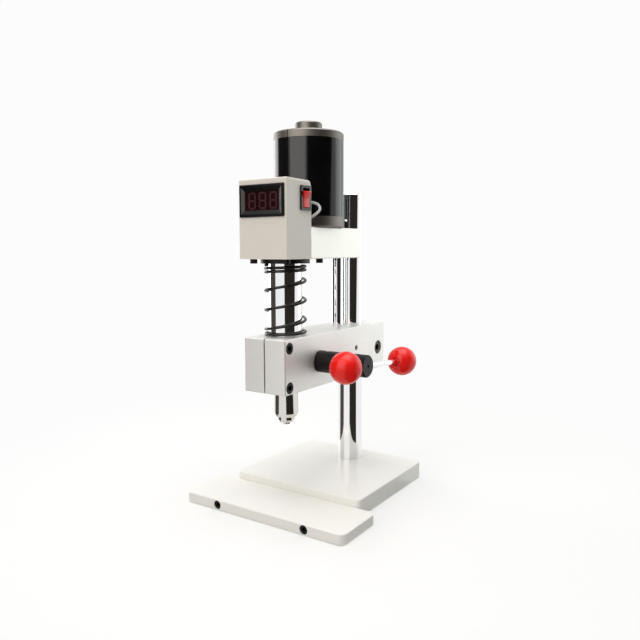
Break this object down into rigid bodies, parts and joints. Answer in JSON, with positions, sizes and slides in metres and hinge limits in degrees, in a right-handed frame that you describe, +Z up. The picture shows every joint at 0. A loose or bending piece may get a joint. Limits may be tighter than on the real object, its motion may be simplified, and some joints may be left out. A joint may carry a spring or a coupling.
{
  "type": "mini bench drill",
  "caption": "Small column bench drill with a split block, sprung rack quill, two-knob feed bar, motor head, meter box and key chuck.",
  "frame": {"origin": "on the drill axis at the underside of the base", "axes": "+Z up along the drill axis, +X to the feed handle's side, +Y back from the drill axis to the column"},
  "size_m": [0.174, 0.1865, 0.353],
  "materials": {
    "base_plate": "satin",
    "bead_aluminium": "satin",
    "arm_paint": "satin",
    "polished_steel": "gloss",
    "bright_steel": "satin",
    "clamp_steel": "satin",
    "black_steel": "satin",
    "spring_steel": "satin",
    "bronze": "satin",
    "cast_alu": "satin",
    "motor_black": "gloss",
    "box_paint": "satin",
    "black_plastic": "satin",
    "knob_red": "gloss",
    "rocker_red": "gloss",
    "digit_plastic": "satin",
    "meter_window": "gloss",
    "lead_grey": "satin",
    "board_green": "satin",
    "belt_rubber": "matte",
    "magnet_grey": "satin",
    "rotor_steel": "satin",
    "carbon": "matte"
  },
  "bodies": {
    "base": {"base_plate": "base_plate", "work_table": "base_plate", "table_screws": "black_steel"},
    "column": {"column": "polished_steel", "column_foot_screw": "black_steel"},
    "block": {"drill_block": "bead_aluminium", "quill_clamp_screws": "black_steel", "grub_screws": "black_steel", "guide_rod": "polished_steel", "stop_collar": "black_steel", "pinion_bushes": "bronze"},
    "column_clamp": {"column_clamp_screw": "clamp_steel"},
    "head": {"quill": "polished_steel", "quill_flange": "black_steel", "flange_screws": "black_steel", "return_spring": "spring_steel", "arm_housing": "arm_paint", "arm_cover": "arm_paint", "arm_screws": "black_steel", "guide_bush": "bronze", "bearing_outer_rings": "bright_steel", "bearing_balls": "polished_steel", "drive_belt": "belt_rubber", "motor_lower_cap": "cast_alu", "motor_can": "motor_black", "motor_upper_cap": "cast_alu", "motor_magnets": "magnet_grey", "brush_gear": "black_plastic", "carbon_brushes": "carbon", "motor_screws": "black_steel", "tie_screws": "bright_steel", "control_box": "box_paint", "box_back": "box_paint", "box_screws": "bright_steel", "meter_housing": "black_plastic", "meter_digits": "digit_plastic", "meter_window": "meter_window", "switch_frame": "black_plastic", "control_board": "board_green", "motor_lead": "lead_grey", "power_inlet": "black_plastic"},
    "hub": {"pinion_shaft": "bright_steel", "pinion_clip": "black_steel", "feed_hub": "black_steel", "hub_pin": "bright_steel", "bar_clamp_screw": "black_steel"},
    "bar": {"handle_bar": "polished_steel", "ball_knobs": "knob_red"},
    "rotor": {"motor_rotor": "rotor_steel", "motor_pulley": "cast_alu", "rotor_inner_rings": "bright_steel"},
    "spindle": {"spindle": "bright_steel", "spindle_pulley": "cast_alu", "spindle_inner_rings": "bright_steel", "chuck_body": "bright_steel"},
    "sleeve": {"chuck_sleeve": "bright_steel"},
    "jaw_1": {"chuck_jaw_1": "bright_steel"},
    "jaw_2": {"chuck_jaw_2": "bright_steel"},
    "jaw_3": {"chuck_jaw_3": "bright_steel"},
    "rocker": {"switch_rocker": "rocker_red"}
  },
  "joints": [
    {"name": "column_swivel", "type": "hinge", "parent": "base", "child": "column", "pos_m": [0, 0.112, 0.017], "axis": [0, 0, 1], "range_deg": [-90, 90]},
    {"name": "block_slide", "type": "slide", "parent": "column", "child": "block", "axis": [0, 0, 1], "range_m": [-0.02, 0.12]},
    {"name": "column_clamp_turn", "type": "hinge", "parent": "block", "child": "column_clamp", "pos_m": [0, 0.1316, 0.134], "axis": [1, 0, 0], "range_deg": [0, 180]},
    {"name": "head_feed", "type": "slide", "parent": "block", "child": "head", "axis": [0, 0, -1], "range_m": [0, 0.04], "stiffness_N_per_m": 2900, "springref_m": -0.012, "deforming": ["return_spring"]},
    {"name": "handle_turn", "type": "hinge", "parent": "block", "child": "hub", "pos_m": [0, 0.022, 0.135], "axis": [1, 0, 0], "range_deg": [0, 288]},
    {"name": "bar_slide", "type": "slide", "parent": "hub", "child": "bar", "axis": [0, 0.996, -0.0889], "range_m": [-0.052, 0.004]},
    {"name": "rotor_spin", "type": "hinge", "parent": "head", "child": "rotor", "pos_m": [0, 0.0375, 0.3], "axis": [0, 0, 1], "continuous": true},
    {"name": "spindle_spin", "type": "hinge", "parent": "head", "child": "spindle", "pos_m": [0, 0, 0.2], "axis": [0, 0, 1], "continuous": true},
    {"name": "sleeve_turn", "type": "hinge", "parent": "spindle", "child": "sleeve", "pos_m": [0, 0, 0.1], "axis": [0, 0, 1], "range_deg": [0, 2880]},
    {"name": "jaw_1_slide", "type": "slide", "parent": "spindle", "child": "jaw_1", "axis": [-0.1948, 0.1125, 0.9744], "range_m": [0, 0.008]},
    {"name": "jaw_2_slide", "type": "slide", "parent": "spindle", "child": "jaw_2", "axis": [0, -0.225, 0.9744], "range_m": [0, 0.008]},
    {"name": "jaw_3_slide", "type": "slide", "parent": "spindle", "child": "jaw_3", "axis": [0.1948, 0.1125, 0.9744], "range_m": [0, 0.008]},
    {"name": "rocker_tip", "type": "hinge", "parent": "head", "child": "rocker", "pos_m": [0.0231, -0.00598, 0.2805], "axis": [0, 1, 0], "range_deg": [-22, 0]}
  ],
  "couplings": [
    {"joint": "handle_turn", "follows": "head_feed", "rad_per_m": 125},
    {"joint": "spindle_spin", "follows": "rotor_spin", "ratio": 0.83333},
    {"joint": "jaw_2_slide", "follows": "jaw_1_slide", "ratio": 1},
    {"joint": "jaw_3_slide", "follows": "jaw_1_slide", "ratio": 1},
    {"joint": "sleeve_turn", "follows": "jaw_1_slide", "rad_per_m": 6283.2}
  ]
}
